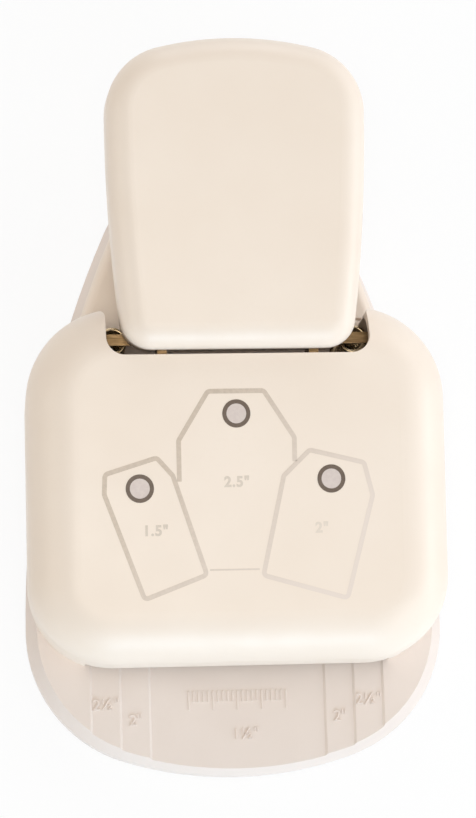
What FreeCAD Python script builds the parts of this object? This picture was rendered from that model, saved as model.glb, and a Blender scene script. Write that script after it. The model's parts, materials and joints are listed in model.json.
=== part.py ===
import FreeCAD, Part
import math
import os
import re
import Sketcher

# Tag punch: a desk punch that cuts both top corners and the string hole of a paper tag.
# Millimetres. X to the right, -Y to the front where the paper goes in, +Z up, floor at Z = 0.
# The origin lies on the floor under the middle of the overall box.

V = FreeCAD.Vector

# Driving dimensions. Heights are measured from the floor, places from the origin, and an inset,
# setback, lead or border from the piece's own edge.
SIZES = {
    # lever
    "press_angle": 9.0,
    "pivot_y": -42.2,
    "pivot_z": 21.0,
    "pivot_radius": 2.5,
    "bar_reach": 28.0,
    "bar_radius": 2.5,
    "arm_inner": 15.2,
    "arm_thick": 2.0,
    "arm_under": 17.2,
    "arm_height": 7.8,
    "arm_rear": 69.6,
    "arm_nose": 5.2,
    "bar_shoulder": 0.5,
    "sleeve_wall": 1.5,
    "bracket_thick": 1.6,
    "bracket_crown": 5.0,
    "web_front": 24.3,
    "web_thick": 2.0,
    # paper guides
    "guide_half_wide": 31.75,
    "guide_half_mid": 25.4,
    "guide_half_narrow": 19.05,
    "channel_drop": 0.4,
    "riser_reach": 0.5,
    "channel_skin": 2.0,
    # base
    "base_border": 13.75,
    "base_front_radius": 80.0,
    "base_corner_radius": 30.0,
    "tail_border": 1.6,
    "base_front_reach": 77.4,
    "base_tail_y": 32.0,
    "base_wall": 2.2,
    "rim_reach": 2.3,
    "rim_drop": 3.4,
    "rim_lift": 0.9,
    "foot_height": 1.2,
    "foot_radius": 4.5,
    "foot_front_inset": 16.0,
    "foot_front_setback": 23.5,
    "foot_rear_inset": 14.6,
    "foot_rear_setback": 19.9,
    "bottom_thick": 1.4,
    "waste_margin": 1.0,
    "platform_top": 9.0,
    # die stack
    "stack_border": 5.65,
    "stack_rear": 5.3,
    "die_front": -32.7,
    "guide_front": -47.2,
    "guide_corner": 5.0,
    "guide_rear_corner": 1.0,
    "die_thick": 2.8,
    "guide_thick": 1.6,
    "slot_lift": 0.3,
    "ledge_overlap": 4.8,
    "stack_screw_lead": 4.0,
    "stack_screw_setback": 3.2,
    # cutting tools
    "cutter_inner": 12.5,
    "cutter_border": 0.55,
    "cutter_hole_near": 0.18,
    "cutter_hole_far": 0.57,
    "cutter_rear": 1.6,
    "cutter_front": -20.4,
    "tip_recess": 0.2,
    "punch_pin_radius": 2.5,
    "punch_pin_y": -7.7,
    "die_clearance": 0.05,
    # punch head
    "head_gap": 0.4,
    "head_thick": 3.6,
    "head_margin": 1.0,
    "post_inset": 2.4,
    "post_radius": 2.0,
    "boss_radius": 3.6,
    "pin_cap_radius": 3.6,
    "pin_cap_height": 1.2,
    "cutter_floor": 1.6,
    "boss_rise": 3.0,
    "lug_inner": 10.0,
    "lug_thick": 3.0,
    "lug_wall": 1.8,
    # cover
    "cover_inset": 0.4,
    "cover_front": -54.2,
    "cover_rear": 21.8,
    "cover_front_corner": 18.0,
    "cover_rear_corner": 20.0,
    "cover_rear_height": 37.4,
    "cover_slope": 6.0,
    "cover_round": 11.0,
    "cover_wall": 2.2,
    "mouth_border": 1.25,
    "mouth_height": 4.4,
    "notch_border": 3.1,
    "notch_front": 9.75,
    "notch_corner": 4.0,
    "horn_round": 2.5,
    "case_post_radius": 2.8,
    "case_front_inset": 4.7,
    "case_front_setback": 19.5,
    "case_rear_offset": 3.8,
    "case_rear_lead": 4.9,
    # rear deck
    "deck_top": 14.2,
    "deck_inset": 1.9,
    "deck_round": 2.5,
    "deck_wall": 2.0,
    "deck_screw_inset": 9.6,
    "deck_screw_lead": 0.3,
    "deck_tail_setback": 8.9,
    "bumper_radius": 4.5,
    "bumper_inset": 18.6,
    "bumper_setback": 16.9,
    # handle, measured with the lever level
    "handle_front": 12.45,
    "handle_front_half": 25.0,
    "handle_front_corner": 6.5,
    "handle_flare": 2.6,
    "handle_rear": 78.6,
    "handle_rear_radius": 70.0,
    "handle_rear_corner": 14.4,
    "handle_under": 19.6,
    "handle_thick": 12.9,
    "handle_round": 5.5,
    "handle_wall": 2.2,
    "under_plate_lift": 0.4,
    "post_boss_radius": 3.0,
    "handle_screw_inset": 6.2,
    "handle_screw_lead": 6.0,
    "handle_screw_setback": 8.0,
    # return springs
    "spring_border": 1.2,
    "spring_setback": 5.4,
    "spring_wire": 0.9,
    "spring_mean_radius": 2.7,
    "spring_turns": 8,
    "spring_cup_wall": 1.2,
    "bridge_overhang": 3.3,
    "bridge_width": 2.4,
    "bridge_thick": 1.6,
    # fasteners and fits
    "screw_radius": 1.25,
    "screw_head_radius": 2.3,
    "screw_head_height": 1.1,
    "screw_clearance": 0.05,
    "running_clearance": 0.05,
    "slot_clearance": 0.08,
    "side_gap": 0.3,
    "fit_gap": 0.15,
    "clip_width": 0.8,
    "clip_rim": 1.7,
    "blind_gap": 0.4,
    "overcut": 1.0,
}

# Values that follow from the driving dimensions.
DERIVED = {
    "base_half_width": "guide_half_wide + base_border",
    "cover_half_width": "base_half_width - cover_inset",
    "stack_half_width": "guide_half_wide + stack_border",
    "mouth_half_width": "guide_half_wide + mouth_border",
    "cutter_outer": "guide_half_wide + cutter_border",
    "post_x": "stack_half_width - post_inset",
    "handle_half_width": "handle_front_half + handle_flare",
    "base_tail_radius": "handle_half_width + tail_border",
    "notch_half_width": "handle_front_half + notch_border",
    "spring_x": "handle_front_half + spring_border",
    "spring_level_y": "notch_front + spring_setback",
    "bridge_half_length": "spring_x + bridge_overhang",
    "travel": "bar_reach * sin(press_angle)",
    "arm_outer": "arm_inner + arm_thick",
    "arm_top": "arm_under + arm_height",
    "bottom_top": "foot_height + bottom_thick",
    "blind_floor": "bottom_top + blind_gap",
    "blind_tip": "blind_floor + fit_gap",
    "channel_floor": "platform_top - 3 * channel_drop",
    "ceiling": "channel_floor - channel_skin",
    "die_under": "channel_floor - die_thick",
    "guide_under": "platform_top + slot_lift",
    "guide_top": "guide_under + guide_thick",
    "tip": "guide_under + tip_recess",
    "head_under": "guide_top + travel + head_gap",
    "head_top": "head_under + head_thick",
    "bar_rest_z": "pivot_z + travel",
    "bar_rest_y": "pivot_y + bar_reach * (1 + cos(press_angle)) / 2",
    "ledge_x": "stack_half_width - ledge_overlap",
    "cutter_width": "cutter_outer - cutter_inner",
    "cutter_depth": "cutter_rear - cutter_front",
    "cutter_edge": "sqrt(cutter_width^2 + cutter_depth^2)",
    "spread_x": "(cutter_edge + cutter_width) / cutter_depth",
    "spread_y": "(cutter_edge + cutter_depth) / cutter_width",
    "base_tail_tip": "base_tail_y + base_tail_radius",
    "base_front_y": "base_front_radius - base_front_reach",
    "base_corner_x": "base_half_width - base_corner_radius",
    "handle_top": "handle_under + handle_thick",
    "handle_rear_y": "handle_rear - handle_rear_radius",
    "handle_corner_x": "handle_half_width - handle_rear_corner",
    "handle_nose_x": "handle_front_half - handle_front_corner",
    "under_plate_low": "handle_under + under_plate_lift",
    "web_under": "under_plate_low + bottom_thick",
    "bridge_under": "arm_under - bridge_thick",
    "spring_hole_radius": "spring_mean_radius + spring_wire / 2 + side_gap",
    "spring_y": "pivot_y + (spring_level_y - pivot_y) * cos(press_angle)"
                " + (pivot_z - bridge_under) * sin(press_angle)",
    "spring_foot": "bottom_top + bottom_thick",
    "spring_head": "pivot_z - (pivot_z - bridge_under) * cos(press_angle)"
                   " + (spring_level_y - bridge_width / 2 - pivot_y) * sin(press_angle) - fit_gap",
    "slot_span": "bar_reach * (1 - cos(press_angle)) / 2 + side_gap",
}

doc = FreeCAD.newDocument("tag_punch")
sheet = doc.addObject("Spreadsheet::Sheet", "Sizes")
for row, (alias, content) in enumerate({**SIZES, **DERIVED}.items(), start=1):
    sheet.set("A%d" % row, alias)
    sheet.set("B%d" % row, str(content) if alias in SIZES else "=" + content)
    sheet.setAlias("B%d" % row, alias)
doc.recompute()

nodes = []


def size(formula):
    """The number that a formula over the sheet's aliases gives now."""
    return float(sheet.evalExpression(formula))


def sized(formula):
    """The formula as another object writes it, with each alias read from the sheet."""

    def known(word):
        text = word.group(0)
        return "Sizes." + text if sheet.getCellFromAlias(text) else text

    return re.sub(r"[a-z]\w*", known, formula)


def bind(thing, prop, formula):
    thing.setExpression(prop, sized(formula))


def node(thing, label):
    """Marks a finished sub-part, whose label names its file."""
    thing.Label = label
    nodes.append(thing)
    return thing


def put(thing, x, y, z):
    bind(thing, ".Placement.Base.x", x)
    bind(thing, ".Placement.Base.y", y)
    bind(thing, ".Placement.Base.z", z)
    return thing


def tilt(thing):
    """Raises a piece drawn with the lever level to its place at rest, about the pivot."""
    thing.Placement = FreeCAD.Placement(V(0, 0, 0), FreeCAD.Rotation(V(1, 0, 0), 1))
    bind(thing, ".Placement.Rotation.Angle", "press_angle")
    bind(thing, ".Placement.Base.y", "pivot_y - pivot_y * cos(press_angle) + pivot_z * sin(press_angle)")
    bind(thing, ".Placement.Base.z", "pivot_z - pivot_y * sin(press_angle) - pivot_z * cos(press_angle)")
    return thing


def block(name, x, y, z):
    """A box from three pairs of limits."""
    thing = doc.addObject("Part::Box", name)
    bind(thing, "Length", "(%s) - (%s)" % (x[1], x[0]))
    bind(thing, "Width", "(%s) - (%s)" % (y[1], y[0]))
    bind(thing, "Height", "(%s) - (%s)" % (z[1], z[0]))
    return put(thing, x[0], y[0], z[0])


def upright(name, radius, x, y, z):
    """A cylinder along Z, from z[0] to z[1]."""
    thing = doc.addObject("Part::Cylinder", name)
    bind(thing, "Radius", radius)
    bind(thing, "Height", "(%s) - (%s)" % (z[1], z[0]))
    return put(thing, x, y, z[0])


def crossbar(name, radius, x, y, z):
    """A cylinder along X, from x[0] to x[1]."""
    thing = doc.addObject("Part::Cylinder", name)
    thing.Placement = FreeCAD.Placement(V(0, 0, 0), FreeCAD.Rotation(V(0, 1, 0), 90))
    bind(thing, "Radius", radius)
    bind(thing, "Height", "(%s) - (%s)" % (x[1], x[0]))
    return put(thing, x[0], y, z)


def taper(name, radii, x, y, z):
    """A cone along Z with radii[0] at z[0] and radii[1] at z[1]."""
    thing = doc.addObject("Part::Cone", name)
    bind(thing, "Radius1", radii[0])
    bind(thing, "Radius2", radii[1])
    bind(thing, "Height", "(%s) - (%s)" % (z[1], z[0]))
    return put(thing, x, y, z[0])


def fuse(name, things):
    thing = doc.addObject("Part::MultiFuse", name)
    thing.Shapes = things
    return thing


def shared(name, things):
    thing = doc.addObject("Part::MultiCommon", name)
    thing.Shapes = things
    return thing


def group(name, things):
    """Separate solids kept as one sub-part."""
    thing = doc.addObject("Part::Compound", name)
    thing.Links = things
    return thing


def cut(name, base, tools):
    tool = tools[0] if len(tools) == 1 else fuse(name + "_tools", tools)
    thing = doc.addObject("Part::Cut", name)
    thing.Base = base
    thing.Tool = tool
    return thing


SIDES = (("left", "-1"), ("right", "1"))


def places(name, place):
    """A tag, the sign of the side, X and Y for something that stands on both sides."""
    return [("%s_%s" % (name, side), sign, "%s * (%s)" % (sign, place[0]), place[1]) for side, sign in SIDES]


def span(sign, inner, outer):
    """X limits of something between two distances from the middle plane, on one side."""
    if sign == "1":
        return (inner, outer)
    return ("-(%s)" % outer, "-(%s)" % inner)


def sketch_in(body, name, role, offset):
    """A sketch on one of the body's own origin planes, moved along its normal."""
    sketch = body.newObject("Sketcher::SketchObject", name)
    plane = [item for item in body.Origin.OriginFeatures if item.Role == role][0]
    sketch.AttachmentSupport = [(plane, "")]
    sketch.MapMode = "FlatFace"
    bind(sketch, ".AttachmentOffset.Base.z", offset)
    return sketch


def dimension(sketch, kind, *where_and_formula):
    where = where_and_formula[:-1]
    formula = where_and_formula[-1]
    index = sketch.addConstraint(Sketcher.Constraint(kind, *where, size(formula)))
    bind(sketch, "Constraints[%d]" % index, formula)


def draw_corners(sketch, corners):
    """A closed polygon with every corner tied to the origin by two distances."""
    points = [V(size(first), size(second), 0) for first, second in corners]
    count = len(points)
    for index in range(count):
        sketch.addGeometry(Part.LineSegment(points[index], points[(index + 1) % count]), False)
    for index in range(count):
        sketch.addConstraint(Sketcher.Constraint("Coincident", index, 2, (index + 1) % count, 1))
    for index, (first, second) in enumerate(corners):
        dimension(sketch, "DistanceX", -1, 1, index, 1, first)
        dimension(sketch, "DistanceY", -1, 1, index, 1, second)


def draw_smooth(sketch, pieces, joints):
    """A closed run of tangent arcs (x, y, radius) and straight lines (None).

    joints holds the outward direction, in radians, at the end of each piece."""
    count = len(pieces)

    def point(index, angle):
        x, y, radius = pieces[index % count]
        return V(x + radius * math.cos(angle), y + radius * math.sin(angle), 0)

    for index, piece in enumerate(pieces):
        start = joints[index - 1] - (2 * math.pi if index == 0 else 0)
        if piece is None:
            line = Part.LineSegment(point(index - 1, start), point(index + 1, joints[index]))
            sketch.addGeometry(line, False)
        else:
            circle = Part.Circle(V(piece[0], piece[1], 0), V(0, 0, 1), piece[2])
            sketch.addGeometry(Part.ArcOfCircle(circle, start, joints[index]), False)
    for index in range(count):
        sketch.addConstraint(Sketcher.Constraint("Tangent", index, 2, (index + 1) % count, 1))


def pad(body, sketch, length):
    feature = body.newObject("PartDesign::Pad", body.Name + "_pad")
    feature.Profile = sketch
    bind(feature, "Length", length)
    return feature


def prism(name, corners, z):
    """An upright polygon between two heights."""
    body = doc.addObject("PartDesign::Body", name)
    sketch = sketch_in(body, name + "_sketch", "XY_Plane", z[0])
    draw_corners(sketch, corners)
    pad(body, sketch, "(%s) - (%s)" % (z[1], z[0]))
    return body


def long_prism(name, corners, y):
    """A polygon in X and Z between two places along Y."""
    body = doc.addObject("PartDesign::Body", name)
    sketch = sketch_in(body, name + "_sketch", "XZ_Plane", "-(%s)" % y[1])
    draw_corners(sketch, corners)
    pad(body, sketch, "(%s) - (%s)" % (y[1], y[0]))
    return body


def side_prism(name, corners, x):
    """A polygon in Y and Z between two places along X."""
    body = doc.addObject("PartDesign::Body", name)
    sketch = sketch_in(body, name + "_sketch", "YZ_Plane", x[0])
    draw_corners(sketch, corners)
    pad(body, sketch, "(%s) - (%s)" % (x[1], x[0]))
    return body


def draw_base_outline(sketch, inset):
    """The egg-shaped plan: a front arc, two corner arcs, two long side arcs and a tail arc."""
    front_radius = size("base_front_radius - (%s)" % inset)
    corner_radius = size("base_corner_radius - (%s)" % inset)
    tail_radius = size("base_tail_radius - (%s)" % inset)
    front_y = size("base_front_y")
    tail_y = size("base_tail_y")
    corner_x = size("base_corner_x")
    half = corner_x + corner_radius
    corner_y = front_y - math.sqrt((front_radius - corner_radius) ** 2 - corner_x ** 2)
    length = tail_y - corner_y
    side_radius = (half ** 2 + length ** 2 - tail_radius ** 2) / (2 * (half - tail_radius))
    front_turn = math.atan2(corner_y - front_y, corner_x)
    tail_turn = math.atan2(length, side_radius - half)
    pieces = [
        (0, front_y, front_radius),
        (corner_x, corner_y, corner_radius),
        (half - side_radius, corner_y, side_radius),
        (0, tail_y, tail_radius),
        (side_radius - half, corner_y, side_radius),
        (-corner_x, corner_y, corner_radius),
    ]
    joints = [front_turn, 0, tail_turn, math.pi - tail_turn, math.pi, math.pi - front_turn]
    draw_smooth(sketch, pieces, joints)
    for arc in (0, 3):
        sketch.addConstraint(Sketcher.Constraint("PointOnObject", arc, 3, -2))
    dimension(sketch, "Radius", 0, "base_front_radius - (%s)" % inset)
    dimension(sketch, "Radius", 3, "base_tail_radius - (%s)" % inset)
    dimension(sketch, "DistanceY", -1, 1, 0, 3, "base_front_y")
    dimension(sketch, "DistanceY", -1, 1, 3, 3, "base_tail_y")
    for corner, side, sign in ((1, 2, "1"), (5, 4, "-1")):
        dimension(sketch, "Radius", corner, "base_corner_radius - (%s)" % inset)
        dimension(sketch, "DistanceX", -1, 1, corner, 3, sign + " * base_corner_x")
        sketch.addConstraint(Sketcher.Constraint("Horizontal", corner, 3, side, 3))


def draw_rounded_rectangle(sketch, half, front, rear, front_corner, rear_corner):
    width = size(half)
    low = size(front)
    high = size(rear)
    small = size(front_corner)
    large = size(rear_corner)
    quarter = math.pi / 2
    pieces = [
        None,
        (width - small, low + small, small),
        None,
        (width - large, high - large, large),
        None,
        (large - width, high - large, large),
        None,
        (small - width, low + small, small),
    ]
    joints = [-quarter, 0, 0, quarter, quarter, math.pi, math.pi, 3 * quarter]
    draw_smooth(sketch, pieces, joints)
    for line in (0, 4):
        sketch.addConstraint(Sketcher.Constraint("Horizontal", line))
    for line in (2, 6):
        sketch.addConstraint(Sketcher.Constraint("Vertical", line))
    for arc, radius in ((1, front_corner), (3, rear_corner), (5, rear_corner), (7, front_corner)):
        dimension(sketch, "Radius", arc, radius)
    dimension(sketch, "DistanceY", -1, 1, 0, 1, front)
    dimension(sketch, "DistanceX", -1, 1, 2, 1, half)
    dimension(sketch, "DistanceY", -1, 1, 4, 1, rear)
    dimension(sketch, "DistanceX", -1, 1, 6, 1, "-(%s)" % half)


def draw_handle_outline(sketch, inset):
    """The paddle's plan: a straight front, widening sides and a rounded rear."""
    nose_radius = size("handle_front_corner - (%s)" % inset)
    rear_corner = size("handle_rear_corner - (%s)" % inset)
    rear_radius = size("handle_rear_radius - (%s)" % inset)
    nose_x = size("handle_nose_x")
    corner_x = size("handle_corner_x")
    rear_y = size("handle_rear_y")
    nose_y = size("handle_front + handle_front_corner")
    corner_y = rear_y + math.sqrt((rear_radius - rear_corner) ** 2 - corner_x ** 2)
    half = corner_x + rear_corner
    length = corner_y - nose_y
    reach = nose_x - half
    side_radius = (nose_radius ** 2 - length ** 2 - reach ** 2) / (2 * (nose_radius + reach))
    nose_turn = -math.atan2(length, side_radius + reach)
    rear_turn = math.atan2(corner_y - rear_y, corner_x)
    pieces = [
        None,
        (nose_x, nose_y, nose_radius),
        (half - side_radius, corner_y, side_radius),
        (corner_x, corner_y, rear_corner),
        (0, rear_y, rear_radius),
        (-corner_x, corner_y, rear_corner),
        (side_radius - half, corner_y, side_radius),
        (-nose_x, nose_y, nose_radius),
    ]
    joints = [-math.pi / 2, nose_turn, 0, rear_turn, math.pi - rear_turn, math.pi,
              math.pi - nose_turn, 3 * math.pi / 2]
    draw_smooth(sketch, pieces, joints)
    sketch.addConstraint(Sketcher.Constraint("Horizontal", 0))
    dimension(sketch, "DistanceY", -1, 1, 0, 1, "handle_front + (%s)" % inset)
    sketch.addConstraint(Sketcher.Constraint("PointOnObject", 4, 3, -2))
    dimension(sketch, "DistanceY", -1, 1, 4, 3, "handle_rear_y")
    dimension(sketch, "Radius", 4, "handle_rear_radius - (%s)" % inset)
    for nose, side, corner, sign in ((1, 2, 3, "1"), (7, 6, 5, "-1")):
        dimension(sketch, "Radius", nose, "handle_front_corner - (%s)" % inset)
        dimension(sketch, "Radius", corner, "handle_rear_corner - (%s)" % inset)
        dimension(sketch, "DistanceX", -1, 1, nose, 3, sign + " * handle_nose_x")
        dimension(sketch, "DistanceX", -1, 1, corner, 3, sign + " * handle_corner_x")
        sketch.addConstraint(Sketcher.Constraint("Horizontal", corner, 3, side, 3))


def base_slab(name, inset, z):
    body = doc.addObject("PartDesign::Body", name)
    sketch = sketch_in(body, name + "_sketch", "XY_Plane", z[0])
    draw_base_outline(sketch, inset)
    pad(body, sketch, "(%s) - (%s)" % (z[1], z[0]))
    return body


def handle_slab(name, inset, z):
    body = doc.addObject("PartDesign::Body", name)
    sketch = sketch_in(body, name + "_sketch", "XY_Plane", z[0])
    draw_handle_outline(sketch, inset)
    pad(body, sketch, "(%s) - (%s)" % (z[1], z[0]))
    return body


# The least upward part of the normal of a face that counts as a top.
UPWARD = 0.9


def top_edges(shape, near):
    """Names of the edges round the largest upward face above the height near."""
    faces = [face for face in shape.Faces if face.normalAt(0, 0).z > UPWARD and face.BoundBox.ZMax > near]
    face = max(faces, key=lambda item: item.Area)
    return ["Edge%d" % (index + 1) for index, edge in enumerate(shape.Edges)
            if any(edge.isSame(other) for other in face.Edges)]


def bevel_top(body, reach, drop, near):
    """Cuts a slope round the body's top face, reach wide from above and drop high."""
    doc.recompute()
    last = body.Tip
    feature = body.newObject("PartDesign::Chamfer", body.Name + "_bevel")
    feature.Base = (last, top_edges(last.Shape, size(near)))
    feature.ChamferType = "Two distances"
    bind(feature, "Size", drop)
    bind(feature, "Size2", reach)
    doc.recompute()
    narrower = last.Shape.BoundBox.XLength - 2 * size(reach)
    top = max(feature.Shape.Faces, key=lambda face: face.BoundBox.ZMin)
    if abs(top.BoundBox.XLength - narrower) > size("fit_gap"):
        raise ValueError(body.Name + " has its bevel the wrong way round")
    return feature


def round_top(body, radius, near):
    """Rounds the edges of the body's top face."""
    doc.recompute()
    last = body.Tip
    feature = body.newObject("PartDesign::Fillet", body.Name + "_round")
    feature.Base = (last, top_edges(last.Shape, size(near)))
    bind(feature, "Radius", radius)
    return feature


def screw_down(name, x, y, top, low):
    """A countersunk screw with its head at the top."""
    head = taper(name + "_head", ("screw_radius", "screw_head_radius"), x, y,
                 ("(%s) - screw_head_height" % top, top))
    shank = upright(name + "_shank", "screw_radius", x, y, (low, "(%s) - screw_head_height" % top))
    return fuse(name, [head, shank])


def screw_up(name, x, y, low, top):
    """A countersunk screw with its head at the bottom."""
    head = taper(name + "_head", ("screw_head_radius", "screw_radius"), x, y,
                 (low, "(%s) + screw_head_height" % low))
    shank = upright(name + "_shank", "screw_radius", x, y, ("(%s) + screw_head_height" % low, top))
    return fuse(name, [head, shank])


def screw_hole(name, x, y, z):
    return upright(name, "screw_radius + screw_clearance", x, y, z)


def sink_down(name, x, y, top):
    """The countersink for a head at the top."""
    return taper(name, ("screw_radius + screw_clearance", "screw_head_radius + screw_clearance"), x, y,
                 ("(%s) - screw_head_height" % top, top))


def sink_up(name, x, y, low):
    """The countersink for a head at the bottom."""
    return taper(name, ("screw_head_radius + screw_clearance", "screw_radius + screw_clearance"), x, y,
                 (low, "(%s) + screw_head_height" % low))


# Places of the fasteners: X and Y, on the right hand side where there is a pair.
CASE_FRONT = ("cover_half_width - case_front_inset", "cover_front + case_front_setback")
CASE_REAR = ("notch_half_width + case_rear_offset", "stack_rear + case_rear_lead")
DECK_SIDE = ("base_tail_radius - deck_screw_inset", "base_tail_y - deck_screw_lead")
DECK_TAIL = ("0", "base_tail_tip - deck_tail_setback")
STACK_FRONT = ("post_x", "die_front + stack_screw_lead")
STACK_REAR = ("post_x", "stack_rear - stack_screw_setback")
BRACKET_SCREW = ("post_x", "pivot_y")
HEAD_OUTER = ("cutter_outer - cutter_hole_near * cutter_width",
              "cutter_rear - cutter_hole_far * cutter_depth")
HEAD_INNER = ("cutter_outer - cutter_hole_far * cutter_width",
              "cutter_rear - cutter_hole_near * cutter_depth")
HANDLE_FRONT_SCREW = ("arm_inner - handle_screw_inset", "web_front + handle_screw_lead")
HANDLE_REAR_SCREW = ("arm_inner - handle_screw_inset", "arm_rear - handle_screw_setback")
FOOT_FRONT = ("base_half_width - foot_front_inset", "foot_front_setback - base_front_reach")
FOOT_REAR = ("base_tail_radius - foot_rear_inset", "base_tail_tip - foot_rear_setback")
BUMPER = ("base_tail_radius - bumper_inset", "base_tail_tip - bumper_setback")


def cutter_corners(sign, clearance):
    """The three corners of a corner cutter, or of its opening with clearance added all round."""
    inner = "%s * (cutter_inner - spread_x * (%s))" % (sign, clearance)
    outer = "%s * (cutter_outer + (%s))" % (sign, clearance)
    rear = "cutter_rear + (%s)" % clearance
    front = "cutter_front - spread_y * (%s)" % clearance
    return [(inner, rear), (outer, rear), (outer, front)]


def tool_openings(name, clearance, z):
    """Openings for both corner cutters and the hole punch."""
    openings = [upright(name + "_hole", "punch_pin_radius + (%s)" % clearance, "0", "punch_pin_y", z)]
    for side, sign in SIDES:
        openings.append(prism("%s_window_%s" % (name, side), cutter_corners(sign, clearance), z))
    return openings


def base_bosses():
    """Bosses under the platform, with the holes of their screws."""
    bosses = []
    holes = []
    stand = ("bottom_top", "ceiling + overcut")
    for name, place in (("case_front", CASE_FRONT), ("case_rear", CASE_REAR), ("deck_side", DECK_SIDE)):
        for tag, sign, x, y in places(name, place):
            bosses.append(upright("base_boss_" + tag, "boss_radius", x, y, stand))
            holes.append(screw_hole("base_hole_" + tag, x, y, ("0", "platform_top + overcut")))
    x, y = DECK_TAIL
    bosses.append(upright("base_boss_tail", "boss_radius", x, y, stand))
    holes.append(screw_hole("base_hole_tail", x, y, ("0", "platform_top + overcut")))
    for tag, sign, x, y in places("bracket", BRACKET_SCREW):
        bosses.append(upright("base_boss_" + tag, "boss_radius", x, y, stand))
        holes.append(screw_hole("base_hole_" + tag, x, y, ("blind_floor", "guide_under")))
    for name, place in (("stack_front", STACK_FRONT), ("stack_rear", STACK_REAR)):
        for tag, sign, x, y in places(name, place):
            holes.append(screw_hole("base_" + tag, x, y, ("blind_floor", "die_under + overcut")))
    for tag, sign, x, y in places("cup", ("spring_x", "spring_y")):
        bosses.append(upright("base_" + tag, "spring_hole_radius + spring_cup_wall", x, y, stand))
        depth = ("spring_foot", "platform_top + overcut")
        holes.append(upright("base_well_" + tag, "spring_hole_radius", x, y, depth))
    return bosses, holes


def make_base():
    """The egg-shaped tray with its stepped guide channels and the seat of the die stack."""
    outer = base_slab("base_outer", "0", ("rim_lift", "platform_top"))
    bevel_top(outer, "rim_reach", "rim_drop", "rim_lift")
    room = base_slab("base_cavity", "base_wall", ("0", "ceiling"))
    keep, holes = base_bosses()
    raised = []
    rail_y = ("die_front - base_wall", "stack_rear + base_wall")
    for side, sign in SIDES:
        keep.append(block("base_rail_" + side, span(sign, "ledge_x", "stack_half_width + base_wall"), rail_y,
                          ("bottom_top", "ceiling + overcut")))
        pad_y = ("guide_front", "die_front - fit_gap")
        raised.append(block("base_pad_" + side, span(sign, "ledge_x", "stack_half_width"), pad_y,
                            ("platform_top - overcut", "guide_under")))
    hollow = cut("base_hollow", room, keep)
    steps = []
    channel_y = ("-base_front_reach - overcut", "die_front")
    for depth, half in enumerate(("guide_half_wide", "guide_half_mid", "guide_half_narrow"), start=1):
        floor = "platform_top - %d * channel_drop" % depth
        brink = half + " + riser_reach / 2"
        side = [(half + " - riser_reach / 2", floor), (brink, floor + " + channel_drop"),
                (brink, "platform_top + overcut")]
        other_side = [("-(%s)" % x, z) for x, z in reversed(side)]
        steps.append(long_prism("base_channel_%d" % depth, side + other_side, channel_y))
    seat_y = ("die_front - fit_gap", "stack_rear + fit_gap")
    seat = block("base_die_seat", ("-stack_half_width - fit_gap", "stack_half_width + fit_gap"), seat_y,
                 ("die_under", "platform_top + overcut"))
    window = block("base_window", ("-ledge_x", "ledge_x"), seat_y, ("0", "die_under + overcut"))
    body = cut("base_cut", outer, [hollow, seat, window] + steps)
    node(cut("base", fuse("base_raised", [body] + raised), holes), "base_tray")


def make_bottom():
    """The plate that closes the base, with waste openings under the dies, and its four feet."""
    slab = base_slab("bottom_slab", "base_wall + fit_gap", ("foot_height", "bottom_top"))
    holes = tool_openings("bottom", "waste_margin", ("0", "bottom_top + overcut"))
    screws = [DECK_TAIL]
    for place in (CASE_FRONT, CASE_REAR, DECK_SIDE):
        screws += [(x, y) for tag, sign, x, y in places("bottom", place)]
    for index, (x, y) in enumerate(screws):
        holes.append(screw_hole("bottom_screw_hole_%d" % index, x, y, ("0", "bottom_top + overcut")))
        holes.append(sink_up("bottom_sink_%d" % index, x, y, "foot_height"))
    node(cut("bottom", slab, holes), "bottom_plate")
    feet = []
    for name, place in (("front", FOOT_FRONT), ("rear", FOOT_REAR)):
        for tag, sign, x, y in places(name, place):
            feet.append(upright("foot_" + tag, "foot_radius", x, y, ("0", "foot_height")))
    node(group("feet", feet), "rubber_feet")


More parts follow.
